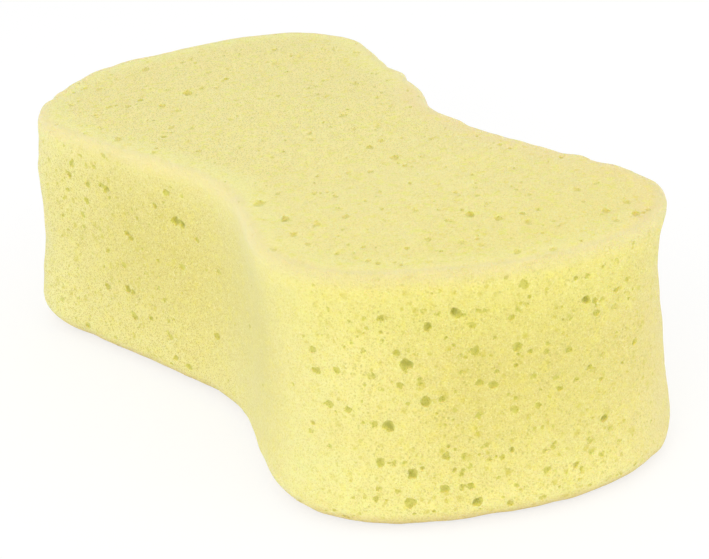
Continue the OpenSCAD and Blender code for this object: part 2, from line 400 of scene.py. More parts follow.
# degrees round the lobe (0 looks along the sponge, -90 to the front), height and width in
# millimetres, and depth as a share of the width
NARROW_PORES = [
    (-27, 54, 2.9, DEEP), (-35, 51, 2.4, DEEP), (-41.5, 42, 3.2, DEEP), (-47, 27, 2.8, DEEP),
    (-36.5, 32.5, 2.9, OPEN), (-67, 39, 2.4, OPEN), (-68, 44, 2.0, OPEN), (-41, 15, 2.7, DEEP),
    (-31.5, 19, 2.2, OPEN), (-32.5, 11, 2.5, OPEN), (-42, 8, 2.9, OPEN), (-51, 9, 1.7, DEEP),
    (-49.5, 18, 2.5, OPEN), (-46, 18, 1.9, FAINT), (-44, 45, 1.9, OPEN), (-53, 45.5, 1.8, FAINT),
    (-47.5, 53.5, 2.0, OPEN), (-56, 52.5, 1.5, OPEN), (-63.5, 31, 2.3, OPEN),
    (-58, 30.5, 2.0, OPEN), (-70, 23, 1.9, FAINT), (-22, 44, 2.6, OPEN), (-22.5, 50.5, 2.4, FAINT),
    (-60, 3, 1.9, OPEN), (-43.5, 37, 1.8, OPEN), (-38, 37.5, 2.3, FAINT), (-60.5, 40, 2.2, FAINT),
    (-51, 27.5, 2.3, FAINT), (-23.5, 7, 2.7, DEEP), (-14, 5, 2.1, OPEN), (-17, 35, 2.4, OPEN),
    (-21, 36, 2.1, OPEN), (-9.5, 43.5, 2.4, OPEN), (-10, 39, 1.5, DEEP), (-7, 58.5, 3.0, FAINT),
    (-12.5, 61, 1.5, OPEN), (-11, 51, 1.9, OPEN), (6, 40, 1.9, OPEN), (12, 51, 2.5, DEEP),
    (15, 47, 1.9, OPEN), (21, 47, 1.9, FAINT), (21.5, 51, 1.8, OPEN), (16.5, 20, 2.1, DEEP),
    (18, 17, 1.9, FAINT), (-11, 28, 2.4, FAINT), (-4, 28, 1.8, OPEN), (-5, 35.5, 2.0, FAINT),
    (-15.5, 17, 1.8, OPEN), (-3, 12, 2.3, FAINT), (6, 11, 1.9, OPEN), (8, 32, 1.9, FAINT),
    (11, 16, 2.0, FAINT), (16, 5, 1.8, FAINT), (25, 5, 1.6, OPEN), (25.5, 52.5, 1.9, FAINT),
    (-47.5, 48, 1.6, FAINT), (-52, 53.5, 1.6, OPEN), (-51.5, 51, 1.5, OPEN),
    (-43, 51.5, 1.3, OPEN), (-36, 55, 1.9, FAINT), (-32, 54, 1.9, FAINT), (-30, 48, 1.1, DEEP),
    (-28, 46, 1.2, DEEP), (-26, 43, 1.9, FAINT), (-26, 39, 1.5, OPEN), (-28, 34.5, 1.4, OPEN),
    (-32, 33, 1.8, OPEN), (-51, 39.5, 2.3, FAINT), (-53, 37, 1.2, DEEP), (-48.5, 36, 1.7, FAINT),
    (-56, 47.5, 1.6, FAINT), (-62, 55, 1.7, FAINT), (-63, 50, 1.3, FAINT), (-64, 20.5, 1.4, OPEN),
    (-54, 33, 1.0, DEEP), (-43, 18, 1.6, OPEN), (-50, 11.5, 2.0, FAINT), (-45, 11, 1.9, FAINT),
    (-57, 9, 1.5, FAINT), (-55, 5, 1.7, FAINT), (-41, 5, 1.4, DEEP), (-27.5, 11, 1.9, OPEN),
    (-25, 11, 1.9, OPEN), (-26.5, 18.5, 2.0, FAINT), (-27, 15, 1.6, OPEN), (-29.5, 17, 1.6, FAINT),
    (-29, 20.5, 1.1, DEEP), (-28.5, 30, 1.7, FAINT), (-41.5, 32.5, 1.3, OPEN),
    (-21.5, 28, 2.1, FAINT), (-12.5, 32, 1.3, OPEN), (-20, 20.5, 1.8, FAINT),
    (-24.5, 22.5, 1.6, FAINT), (-25, 16, 1.8, FAINT), (-5.5, 22.5, 1.6, OPEN), (0, 22, 1.5, FAINT),
    (3, 31, 1.8, FAINT), (-12, 9.5, 1.8, FAINT), (-4.5, 5, 2.1, FAINT), (-17, 12, 1.7, FAINT),
    (11, 13, 1.9, FAINT), (20, 13, 1.7, FAINT), (14, 11.5, 1.8, FAINT), (7, 9, 1.5, FAINT),
    (-19, 53.5, 2.1, FAINT), (-9, 52.5, 1.5, OPEN), (-6.5, 53.5, 1.8, FAINT), (12, 57, 1.9, FAINT),
    (17, 58, 1.7, FAINT), (21, 58.5, 1.7, FAINT), (17, 50, 1.8, FAINT), (6.5, 48, 1.7, FAINT),
    (27, 42, 1.5, FAINT), (28, 36, 1.9, OPEN), (17, 36, 1.8, FAINT), (13.5, 33, 1.9, FAINT),
    (22, 37, 1.4, FAINT), (2, 34, 1.9, FAINT), (-1, 41, 1.9, FAINT),
]
WIDE_PORES = [
    (-36.5, 48.5, 2.9, DEEP), (-35, 48, 2.8, DEEP), (-38, 56, 2.4, OPEN), (-54, 39.5, 2.1, DEEP),
    (-52.5, 38.5, 1.9, DEEP), (-56, 22.5, 2.5, DEEP), (-54, 22, 1.9, DEEP),
    (-42.5, 23.5, 1.5, DEEP), (-63, 51.5, 2.3, OPEN), (-61, 51, 2.3, DEEP), (-70, 50.5, 2.3, OPEN),
    (-72, 45, 2.3, OPEN), (-77, 55, 2.1, OPEN), (-79, 51.5, 2.1, OPEN), (-54, 15, 2.4, OPEN),
    (-47.5, 16.5, 1.6, DEEP), (-63, 6, 1.6, DEEP), (-76, 6, 2.3, OPEN), (-44, 26.5, 1.9, FAINT),
    (-31.5, 45, 1.8, OPEN), (-27.5, 38.5, 2.2, FAINT), (-29, 19.5, 2.5, OPEN),
    (-36.5, 7, 2.3, OPEN), (-41.5, 18, 1.7, OPEN), (-75, 40, 2.1, OPEN), (-75, 36.5, 1.7, OPEN),
    (-60, 61, 2.0, OPEN), (-87, 11.5, 2.1, FAINT), (-42, 14.5, 1.7, FAINT), (-65, 21, 2.2, OPEN),
    (-36.5, 58, 1.7, FAINT), (-34, 56.5, 1.7, FAINT), (-42, 51, 2.0, OPEN),
    (-36, 35.5, 2.3, FAINT), (-30, 37.5, 1.7, FAINT), (-57, 29.5, 2.4, FAINT),
    (-48.5, 36.5, 1.3, OPEN), (-42, 40, 1.4, FAINT), (-63.5, 32, 2.0, FAINT),
    (-71.5, 29.5, 1.7, FAINT), (-81, 46.5, 1.8, OPEN), (-60, 48.5, 1.5, OPEN), (-40, 8, 1.9, DEEP),
    (-41, 13.5, 1.9, FAINT), (-51, 47.5, 1.7, FAINT), (-67, 37.5, 1.8, FAINT),
    (-48, 29.5, 1.8, FAINT), (-45, 44.5, 1.6, FAINT),
]
print(len(NARROW_PORES), "on the narrow lobe's wall and", len(WIDE_PORES), "on the wide lobe's")

# %% The largest pores of the top
# place along and across the sponge, width, depth
TOP_PORES = [
    (-65, 5, 1.8, DEEP), (-60, -10, 3.2, OPEN), (-75, 4, 2.4, FAINT), (-91, -10, 3.0, FAINT),
    (-63, -34, 2.1, OPEN), (-60, -29, 2.4, OPEN), (-72, -42, 2.2, FAINT), (-54, -21, 2.4, OPEN),
    (-34, -43, 2.8, FAINT), (35, -35, 3.4, FAINT), (49, -35, 2.8, OPEN), (17, 7, 2.5, OPEN),
    (15, 12, 2.5, FAINT), (28, 8, 2.7, FAINT), (32, 14, 2.1, FAINT), (35, 7, 1.8, OPEN),
    (74, 1, 2.6, OPEN), (80, 5, 2.4, OPEN), (74, -5, 2.2, FAINT), (86, 9, 2.4, FAINT),
    (77, 30, 2.2, FAINT), (91, -7, 2.2, FAINT), (103, 4, 2.0, FAINT), (38, -21, 2.0, FAINT),
    (30, -7, 1.9, FAINT), (57, -23, 2.4, FAINT), (22, 23, 2.2, FAINT), (-83, 31, 2.2, OPEN),
    (-71, 33, 2.0, FAINT), (-34, 32, 2.4, FAINT), (-54, 34, 2.0, FAINT), (-28, -32, 2.1, OPEN),
    (-63, -24, 2.2, DEEP), (-47, -19, 2.4, FAINT), (-82, -29, 2.2, FAINT), (-88, -21, 1.9, FAINT),
    (-75, -17, 2.0, FAINT), (-90, 2, 2.0, FAINT), (-86, -2, 1.8, FAINT), (-61, -5, 2.0, FAINT),
    (-59, -1, 1.8, FAINT), (-44, -2, 1.9, FAINT), (-29, -11, 2.3, FAINT), (-17, -40, 2.0, FAINT),
    (-29, -23, 2.0, FAINT), (-34, -27, 2.4, FAINT), (-10, -30, 2.1, FAINT), (-74, 10, 1.9, FAINT),
    (-86, 20, 1.9, FAINT), (-70, 24, 2.0, FAINT), (-46, 31, 1.7, FAINT), (-44, 27, 1.9, FAINT),
    (-61, 39, 1.6, FAINT), (-77, 47, 1.1, DEEP), (-39, 9, 2.1, FAINT), (-20, 9, 2.1, FAINT),
    (-28, 19, 1.8, FAINT), (-40, 22, 1.8, FAINT), (-25, 4, 1.9, FAINT), (4, 17, 2.0, FAINT),
    (2, 11, 2.0, FAINT), (-4, 7, 1.8, FAINT), (6, 15, 1.7, FAINT), (-10, 14, 2.3, FAINT),
    (-18, 30, 1.8, FAINT), (-3, 0, 2.2, FAINT), (2, -2, 2.3, FAINT), (20, -2, 1.5, FAINT),
    (59, -38, 2.5, FAINT), (64, -46, 2.1, FAINT), (32, -28, 1.9, FAINT), (39, -18, 1.8, FAINT),
    (43, -18, 2.0, FAINT), (57, -31, 2.4, FAINT), (51, -22, 1.8, FAINT), (66, -38, 1.9, FAINT),
    (33, -2, 2.1, FAINT), (65, -17, 1.6, FAINT), (64, -8, 2.2, FAINT), (83, -32, 1.8, FAINT),
    (81, 11, 1.8, OPEN), (76, 36, 1.8, FAINT), (92, 27, 2.3, OPEN), (98, 25, 2.3, FAINT),
    (98, 31, 2.4, OPEN), (91, 34, 2.1, FAINT), (60, 12, 1.8, FAINT), (60, 6, 1.8, FAINT),
    (67, 19, 1.6, OPEN), (72, 19, 1.8, FAINT), (65, 9, 1.9, FAINT), (99, -3, 2.2, FAINT),
    (87, -10, 1.9, FAINT), (81, -15, 1.9, FAINT),
]
print(len(TOP_PORES), "on the top")


# %% Find them on the skin
def meet(start, way):
    """Where a ray from start first meets the skin, and the way the skin faces there."""
    spot, normal, _, _ = skin_tree.ray_cast(Vector(start), Vector(way))
    outwards = 1 if normal.dot(spot - Vector((0, 0, HEIGHT / 2))) > 0 else -1
    return np.array(spot), np.array(normal) * outwards


pores = []
for lobe_x, noted in ((LOBE_X, NARROW_PORES), (-LOBE_X, WIDE_PORES)):
    for degrees, height, width, share in noted:
        spot, normal = meet((lobe_x, 0, height), (*heading(math.radians(degrees)), 0))
        pores.append((spot, normal, width, share))
for x, y, width, share in TOP_PORES:
    spot, normal = meet((x, y, HEIGHT / 2), (0, 0, 1))
    pores.append((spot, normal, width, share))
print(len(pores), "pores noted")

# %% [markdown]
# ## The smaller pores
# The rest are scattered by chance, evenly by area, and then thinned out. The end of the
# narrow lobe keeps all of its own, the wide lobe most, the flat faces about two thirds, and
# the waist, where the foam was squeezed, hardly any. The sides that nobody noted pore by
# pore get larger ones by chance as well.

# %% How open the foam is
rng = np.random.default_rng(11)
# a face is flat rather than wall where it looks up or down by more than this share
FLAT = 0.6


def smooth(x, low, high):
    """A smooth step from 0 at low to 1 at high."""
    t = np.clip((x - low) / (high - low), 0, 1)
    return t * t * (3 - 2 * t)


def openness(p, way):
    """From 0 to 1: how many pores open near a point that faces a certain way."""
    from_waist = np.abs(p[:, 0] - WAIST_X)
    narrow = smooth(from_waist, 48, 80) * (1 - 0.75 * smooth(p[:, 1], 20, 40))
    wide = 0.8 * smooth(from_waist, 8, 36)
    wall = 0.08 + 0.92 * np.where(p[:, 0] > WAIST_X, narrow, wide)
    flat = 0.6 + 0.15 * smooth(from_waist, 10, 60)
    return np.where(np.abs(way[:, 2]) > FLAT, flat, wall)


# %% Scatter the smaller pores
def scatter(count):
    """Places on the skin, picked evenly by area, each with the way the skin faces."""
    tri = []
    for f in skin_faces:
        tri.append(f[:3])
        if len(f) == 4:
            tri.append((f[0], f[2], f[3]))
    tri = points[np.array(tri)]
    cross = np.cross(tri[:, 1] - tri[:, 0], tri[:, 2] - tri[:, 0])
    area = np.linalg.norm(cross, axis=1)
    pick = rng.choice(len(tri), count, p=area / area.sum())
    u, v = rng.random((2, count, 1))
    flip = u + v > 1
    u, v = np.where(flip, 1 - u, u), np.where(flip, 1 - v, v)
    t = tri[pick]
    spots = t[:, 0] + u * (t[:, 1] - t[:, 0]) + v * (t[:, 2] - t[:, 0])
    return spots, cross[pick] / area[pick, None]


# places tried, and the share that is large on the sides that nobody noted
SCATTERED, LARGE_BY_CHANCE = 1300, 0.22
# the noted side of the sponge faces this way, and its bubbles are stretched along it
FRONT = heading(math.radians(-28))
spots, normals = scatter(SCATTERED)
kept = rng.random(len(spots)) < openness(spots, normals)
unnoted = (normals[:, :2] @ FRONT < 0.1) & (normals[:, 2] < FLAT)
for spot, normal, chance in zip(spots[kept], normals[kept], unnoted[kept]):
    width = 0.9 + 0.8 * rng.random() ** 2
    if chance and rng.random() < LARGE_BY_CHANCE:
        width = rng.uniform(1.7, 3.1)
    pores.append((spot, normal, width, rng.uniform(0.3, 0.55)))
pores.sort(key=lambda pore: -pore[2])
places = np.array([pore[0] for pore in pores])
sizes = np.array([pore[2] for pore in pores])
print(len(pores), "pores in all, the largest", sizes.max().round(1), "mm across")


# %% [markdown]
# ## The shape of a pore
# A burst bubble is neither round nor smooth. Each one here starts as a ball of triangles, is
# pressed to the pore's width and depth, and is made lumpy with noise in two sizes. Foam also
# stretches while it rises, and its bubbles with it. So a pore in the top or in a flank is
# about 1.4 times as long as it is wide, while one in the face that looks along the stretch
# is almost round.

# %% Balls to start from
# pores wider than this, in millimetres, are cut with the finer ball
FINE_FROM = 1.7


def ball(detail):
    """Points and triangles of a round ball, coarse or fine."""
    bm = bmesh.new()
    bmesh.ops.create_icosphere(bm, subdivisions=detail, radius=1)
    corners = np.array([v.co for v in bm.verts])
    triangles = np.array([[v.index for v in f.verts] for f in bm.faces])
    bm.free()
    return corners, triangles


BALLS = {"small": ball(2), "large": ball(3)}
for size, (corners, triangles) in BALLS.items():
    print("a", size, "ball has", len(triangles), "triangles")


# %% A lumpy ball for each pore
# bubbles are this many times longer than wide along FRONT, and seen end-on that much less
STRETCH, END_ON = 1.42, 0.4
# how far a ball's middle stands out of the skin, as a share of the pore's depth
PROUD = 0.1


def bumps(corners, finely, seed):
    """Noise at each corner of a ball."""
    return np.array([noise.noise(Vector(c) * finely + seed) for c in corners])


def lumpy(spot, normal, width, share):
    """A ball with lumps that opens the skin at a spot, as wide and as deep as it's told."""
    corners, triangles = BALLS["large" if width > FINE_FROM else "small"]
    seed = Vector(rng.random(3) * 50)
    reach = 1 + 0.5 * bumps(corners, 1.4, seed) + 0.25 * bumps(corners, 3.1, seed)
    towards = normal[:2] @ FRONT
    along = np.array([*FRONT, 0]) - towards * normal
    along /= np.linalg.norm(along)
    turn = np.stack([along, np.cross(normal, along), normal])
    long = STRETCH - END_ON * towards ** 2
    half = np.array([long, rng.uniform(0.9, 1.05), 2 * share]) * width / 2
    centre = spot + normal * PROUD * width * share
    return centre + corners * reach[:, None] * half @ turn, triangles


# %% [markdown]
# ## Cutting them out
# A boolean takes one solid from another. It is quick and exact if the balls that are taken
# away don't overlap each other, so the pores are dealt out over a few sets, each free of
# overlaps, and the sets are cut one after the other. Pores that do overlap then join up,
# as run-together bubbles do.

# %% Deal the pores out over sets without overlaps
# how far apart two balls are kept, as a share of both widths together
APART = 0.95


def deal(spots, widths):
    """The pores' numbers in sets, each pore in the first set that has room for it."""
    sets = []
    for i, spot in enumerate(spots):
        for chosen in sets:
            gaps = np.linalg.norm(spots[chosen] - spot, axis=1)
            if (gaps > APART * (widths[chosen] + widths[i])).all():
                chosen.append(i)
                break
        else:
            sets.append([i])
    return sets


sets = deal(places, sizes)
print("the pores are dealt out as", [len(chosen) for chosen in sets])


# %% Cut every set
def cut(target, chosen):
    """Take the chosen pores out of the target with one boolean."""
    corners, faces, start = [], [], 0
    for i in chosen:
        solid, triangles = lumpy(*pores[i])
        corners.append(solid)
        faces.append(triangles + start)
        start += len(solid)
    cutter = mesh_from("pore_cutter", np.concatenate(corners), np.concatenate(faces).tolist())
    change = target.modifiers.new("pores", "BOOLEAN")
    change.operation, change.solver, change.object = "DIFFERENCE", "MANIFOLD", cutter
    cut_mesh = bpy.data.meshes.new_from_object(
        target.evaluated_get(bpy.context.evaluated_depsgraph_get()))
    target.modifiers.clear()
    target.data = cut_mesh
    bpy.data.objects.remove(cutter)


for chosen in sets:
    cut(foam, chosen)
foam.data.calc_loop_triangles()
print(len(foam.data.polygons), "faces now, or", len(foam.data.loop_triangles), "triangles")

# %% [markdown]
# ## Softening the lips
# A pore in foam has no crisp lip: the struts round it are cut at all heights. So the points
# in and around each pore are drawn a little towards their neighbours, near ones most. That
# rounds the lips and leaves the rest of the skin as it was. How deep each point lies under
# the uncut skin is measured first, and evened out between neighbours too, because the pores'
# painted shade is taken from it and should set in gently.

# %% Draw the pores' points towards their neighbours
# a point deeper than the first, in millimetres, lies in a pore; depths are evened out by
# the second; and no neighbour counts as nearer than the third, in millimetres
HOLLOW_FROM, EVEN_OUT, NO_NEARER = 0.03, 0.4, 0.05


def soften(mesh, rounds, strength):
    """Soften the pores of a mesh, and return how deep each of its points was cut."""
    places = np.array([v.co for v in mesh.vertices]) / MM
    a, b = np.array([e.vertices[:] for e in mesh.edges]).T
    depths = np.array([skin_tree.find_nearest(Vector(p))[3] for p in places])
    hollow = depths > HOLLOW_FROM
    felt, met = np.zeros(len(places)), np.zeros(len(places))
    for here, there in ((a, b), (b, a)):
        np.add.at(felt, here, depths[there])
        np.add.at(met, here, 1)
    depths += EVEN_OUT * (felt / met - depths)
    lips = hollow.copy()
    np.logical_or.at(lips, a, hollow[b])
    np.logical_or.at(lips, b, hollow[a])
    for _ in range(rounds):
        gaps = np.linalg.norm(places[a] - places[b], axis=1)
        pull = 1 / np.maximum(gaps, NO_NEARER)[:, None]
        total, weight = np.zeros_like(places), np.zeros((len(places), 1))
        for here, there in ((a, b), (b, a)):
            np.add.at(total, here, pull * places[there])
            np.add.at(weight, here, pull)
        places[lips] += strength * (total / weight - places)[lips]
    mesh.vertices.foreach_set("co", (places * MM).ravel())
    mesh.update()
    print(int(lips.sum()), "of", len(places), "points softened")
    return depths.tolist()


depths_as_cut = soften(foam.data, rounds=3, strength=0.5)

# %% [markdown]
# ## What the foam's surface knows about itself
# The finish depends on where a point lies. Deep in a pore the colour is painted greener and
# darker, as the shade of the hollow, where light reaches it through more foam; along the rim
# it is paler, partly as painted light at the thin edge and partly because the foam is a
# little flattened there. Where the foam is more open it has more freckles, and in some places
# the wall is painted darker, as shade, partly the foam's own duller tone. These facts are
# measured once for every point and kept on the mesh, so that the material can read them.

# %% Where the wall is painted darker, as shade
# place on the bone and how far round it the wall is painted darker, as shade and partly as duller
# foam; then how much
SHADED_PLACES = [
    ((105, 6), 38, 1.6), ((-12, -43), 24, 1.2), ((28, -41), 22, 0.9), ((56, -48), 16, 0.8),
    ((-48, -53), 22, 0.45), ((8, -40), 14, 0.2), ((-75, 55), 40, 0.8), ((60, 55), 36, 0.7),
]
# and how much of it is felt at even steps from the foot up to the rim
SHADE_UPWARDS = (0.15, 0.5, 0.85, 1.0, 0.85, 0.3)


def painted_shade_by_place(p):
    """Painted shade, partly the foam's duller tone, from 0 to 1: most a bit above mid height and
    little along the foot and the rim.
    """
    felt = sum(
        share * np.exp(-(np.hypot(*(p[:, :2] - place).T) / reach) ** 2)
        for place, reach, share in SHADED_PLACES)
    upwards = np.interp(p[:, 2], np.linspace(0, HEIGHT, len(SHADE_UPWARDS)), SHADE_UPWARDS)
    return np.clip(felt, 0, 1) * upwards


# %% Measure the skin and keep it on the mesh
# edges that turn by more than this stay crisp
SHARP = math.radians(38)


def keep_on_mesh(mesh, name, values):
    mesh.attributes.new(name, "FLOAT", "POINT").data.foreach_set("value", values)
    print(name, "runs from", round(float(min(values)), 2), "to", round(float(max(values)), 2))


def distance_to(line, spots):
    """How far each spot is from the nearest point of a line of points."""
    tree = kdtree.KDTree(len(line))
    for i, p in enumerate(line):
        tree.insert(p, i)
    tree.balance()
    return [tree.find(s)[2] for s in spots]


spots = [v.co / MM for v in foam.data.vertices]
# the ring that runs along the middle of the rim's small round
rim_line = rings[levels - 3]
keep_on_mesh(foam.data, "pore_depth", depths_as_cut)
keep_on_mesh(foam.data, "to_rim", distance_to(rim_line, spots))
spots = np.array(spots)
normals = np.array([v.normal for v in foam.data.vertices])
keep_on_mesh(foam.data, "open", openness(spots, normals).tolist())
# how much the wall is painted darker, as shade and partly as duller foam
keep_on_mesh(foam.data, "painted_shade", painted_shade_by_place(spots).tolist())
foam.data.shade_smooth()
foam.data.set_sharp_from_angle(angle=SHARP)

# %% [markdown]
# ## The foam's finish
# Polyurethane foam is a web of thin struts. Light goes in, scatters and comes out again a few
# millimetres away, so edges glow and nothing is quite dark. That is what subsurface
# scattering is for. On top of it come three scales of detail: soft mottling a
# centimetre wide, freckles where bubbles lie just under the skin, and the fine grain of the
# cells themselves. Each is a procedural texture in the block's own coordinates, so it fills
# the block through and through, like the real thing.

# %% Helpers for the material
def srgb(r, g, b):
    """A colour as read from a screen, 0 to 255, turned into light."""
    return tuple(((c / 255 + 0.055) / 1.055) ** 2.4 for c in (r, g, b)) + (1.0,)


class Finish:
    """A material's nodes, added and joined with as little fuss as possible."""

    def __init__(self, name):
        self.material = bpy.data.materials.new(name)
        self.material.use_nodes = True
        self.nodes = self.material.node_tree.nodes
        self.links = self.material.node_tree.links
        self.nodes.clear()

    def put(self, kind, inputs=(), **settings):
        """A new node, each input either joined to another node's output or set to a value."""
        node = self.nodes.new(kind)
        for key, value in settings.items():
            setattr(node, key, value)
        for key, value in dict(inputs).items():
            if isinstance(value, bpy.types.NodeSocket):
                self.links.new(value, node.inputs[key])
            else:
                node.inputs[key].default_value = value
        return node

    def sum(self, operation, a, b=0.0, c=0.0):
        """Arithmetic on up to three values, each a number or an output."""
        node = self.put("ShaderNodeMath", {0: a, 1: b, 2: c}, operation=operation)
        return node.outputs[0]

    def times(self, a, b):
        return self.sum("MULTIPLY", a, b)

    def span(self, value, low, high, to_low=0.0, to_high=1.0):
        """Smooth step of a value, from one span to another."""
        node = self.put(
            "ShaderNodeMapRange",
            {"Value": value, "From Min": low, "From Max": high,
             "To Min": to_low, "To Max": to_high},
            interpolation_type="SMOOTHSTEP",
        )
        return node.outputs["Result"]

    def blend(self, share, under, over):
        """One colour over another, covering a share of it."""
        node = self.put("ShaderNodeMix", {0: share, 6: under, 7: over}, data_type="RGBA")
        return node.outputs[2]

    def measured(self, name):
        """A fact that was kept on the mesh."""
        node = self.put("ShaderNodeAttribute", attribute_name=name, attribute_type="GEOMETRY")
        return node.outputs["Fac"]


# %% Textures at three scales
look = Finish("open_cell_foam")
where = look.put("ShaderNodeTexCoord").outputs["Object"]
depth, to_rim, opened, painted_shade = (look.measured(n) for n in ("pore_depth", "to_rim", "open", "painted_shade"))


def noisy(size_mm, detail=2.0, output="Fac"):
    """Cloudy noise, its lumps about as large as told."""
    node = look.put(
        "ShaderNodeTexNoise",
        {"Vector": where, "Scale": 1 / (size_mm * MM), "Detail": detail},
    )
    return node.outputs[output]


def cells(size_mm, at=where):
    """A packing of cells: how far a point is from the nearest middle, and a colour each."""
    return look.put("ShaderNodeTexVoronoi", {"Vector": at, "Scale": 1 / (size_mm * MM)})


mottle = look.span(noisy(14), 0.35, 0.65)
grain = look.span(cells(0.5).outputs["Distance"], 0.1, 0.75)
coarse_grain = look.span(cells(0.95).outputs["Distance"], 0.42, 0.1)
# bright specks: painted glints where the struts catch the light
painted_glints = look.span(noisy(0.4, detail=1.0), 0.53, 0.7)
crumbs = look.span(noisy(0.8), 0.35, 0.62)
yellow_spots = look.span(noisy(2.4), 0.5, 0.72)
print("textures:", len(look.nodes), "nodes so far")

# %% [markdown]
# ### Freckles and pepper
# Freckles are bubbles that lie just under the skin. Cells of two sizes serve for them: only
# some of the cells get one, and the place where the cells are read is shaken a little, so
# that no freckle has a clean edge. Pepper is finer, and comes in patches. Both keep to
# where the foam is open.

# %% Freckles and pepper
SHAKE_MM = 1.1
shake = look.put(
    "ShaderNodeVectorMath", {0: noisy(SHAKE_MM, output="Color"), 1: (0.5, 0.5, 0.5)},
    operation="SUBTRACT").outputs[0]
shaken = look.put(
    "ShaderNodeVectorMath", {0: shake, 1: (SHAKE_MM * MM,) * 3, 2: where},
    operation="MULTIPLY_ADD").outputs[0]


def freckles(size_mm, share, spot_size):
    """Soft spots in some of the cells: full in the middle, ragged and gone at the edge."""
    cell = cells(size_mm, shaken)
    chance = look.put("ShaderNodeSeparateColor", {0: cell.outputs["Color"]}).outputs[0]
    strong = look.span(chance, 1 - share, 1 - 0.3 * share)
    spot = look.span(cell.outputs["Distance"], spot_size, 0.4 * spot_size)
    return look.times(strong, spot)


freckle = look.sum("MAXIMUM", freckles(1.5, 0.3, 0.48), freckles(3.1, 0.45, 0.36))
freckle = look.times(freckle, look.span(opened, 0.0, 0.9, 0.05, 1.0))
freckle = look.times(freckle, look.span(crumbs, 0.0, 1.0, 1.0, 0.5))
pepper = look.span(cells(1.0).outputs["Distance"], 0.4, 0.16)
patches = look.span(noisy(6.0), 0.44, 0.62)
pepper = look.times(look.times(pepper, patches), look.span(opened, 0.2, 0.9))
print("with freckles and pepper:", len(look.nodes), "nodes")

# %% [markdown]
# ### Colour, layer by layer
# The colour is laid on as a painter would do it: a sunny ground, then what is duller or
# warmer about each part of the block, with painted shade where the lamps light a wall less,
# then spots, grain and painted glints, then freckles and the pores' painted shade, and last
# the crust, with painted light along the rim and painted shade along the foot. Every layer
# covers its share of the ones under it, and that share comes from a texture, from the facts
# kept on the mesh, or from the place on the block.
# The top and the underside are sliced flat from the loaf. They are painted paler and creamier
# than the walls, as painted light from above, and their spots and pores stand out less.

# %% Shares by place and by face
place = look.put("ShaderNodeSeparateXYZ", {0: where})
facing_up = look.put(
    "ShaderNodeSeparateXYZ", {0: look.put("ShaderNodeNewGeometry").outputs["True Normal"]})
# the top and the underside, which are painted paler as light from above
flat_faces_lit = look.span(look.sum("ABSOLUTE", facing_up.outputs["Z"]), 0.5, 0.9)


def across(axis, low, high, to_low=0.0, to_high=1.0):
    """Smooth step between two places on the block, in millimetres along an axis."""
    return look.span(place.outputs[axis], low * MM, high * MM, to_low, to_high)


def by_face(wall, flat):
    """One share for the walls, another for the top and the underside."""
    return look.span(flat_faces_lit, 0, 1, wall, flat)


# %% Ground colour of the walls
SUNNY, DULL_TONE_AND_SHADE = srgb(253, 244, 169), srgb(232, 221, 136)
WARM, FRESH = srgb(242, 222, 152), srgb(238, 231, 130)
# painted shade: the wall is painted darker where the lamps light it less, partly the foam's own
# duller tone
colour = look.blend(painted_shade, SUNNY, DULL_TONE_AND_SHADE)
colour = look.blend(look.times(mottle, 0.2), colour, DULL_TONE_AND_SHADE)
# the back and the wide lobe's end are warmer, and high on the narrow lobe it is fresher
behind, wide_end_wall = across("Y", 8, 40), across("X", -64, -80)
warm = look.times(look.sum("MAXIMUM", behind, wide_end_wall), 0.6)
colour = look.blend(warm, colour, WARM)
high_on_narrow = look.times(across("Z", 40, 54), across("X", 50, 85, 0.0, 0.4))
colour = look.blend(high_on_narrow, colour, FRESH)
print("walls:", len(look.nodes), "nodes")

# %% Colour of the top and the underside, painted paler as light from above
FLAT_LIT, FLAT_LIT_NARROW = srgb(255, 232, 151), srgb(254, 231, 138)
RIM_GLOW, RIM_GLOW_BACK = srgb(255, 240, 158), srgb(250, 226, 160)
flat = look.blend(across("X", 60, 95, 0.0, 0.4), FLAT_LIT, FLAT_LIT_NARROW)
# painted light: a band along the rim is painted paler, as the glow of light through the thin edge,
# and warmer at the back of the waist
rim_glow = look.times(look.span(to_rim, 13, 3), across("X", 60, 20, 0.6, 1.0))
back_waist = look.times(across("Y", 20, 36), across("X", -40, -10))
flat = look.blend(rim_glow, flat, look.blend(back_waist, RIM_GLOW, RIM_GLOW_BACK))
# painted light: the top and the underside get their paler, creamier colour
colour = look.blend(look.times(flat_faces_lit, 0.9), colour, flat)
print("sliced faces:", len(look.nodes), "nodes")

# %% Spots, grain and painted glints
LEMON, GRAIN = srgb(244, 234, 116), srgb(206, 188, 106)
COARSE_GRAIN, GLINT = srgb(220, 204, 96), srgb(255, 250, 188)
colour = look.blend(look.times(yellow_spots, by_face(0.3, 0.55)), colour, LEMON)
# the bright end of the narrow lobe and the rim show the least grain
fine = look.span(grain, 0.5, 0.0)
grain_share = look.times(
    across("X", -10, 50, 0.9, 0.34), look.span(to_rim, 3.0, 12.0, 0.45, 1.0))
colour = look.blend(look.times(fine, grain_share), colour, GRAIN)
colour = look.blend(look.times(coarse_grain, by_face(0.3, 0.15)), colour, COARSE_GRAIN)
# painted glints: bright specks where the struts catch the light
colour = look.blend(look.times(painted_glints, across("X", -10, 50, 0.5, 0.35)), colour, GLINT)
print("grain:", len(look.nodes), "nodes")

# %% Freckles, and painted shade in the pores
FRECKLE, FRECKLE_FLAT_LIT = srgb(220, 210, 94), srgb(236, 218, 80)
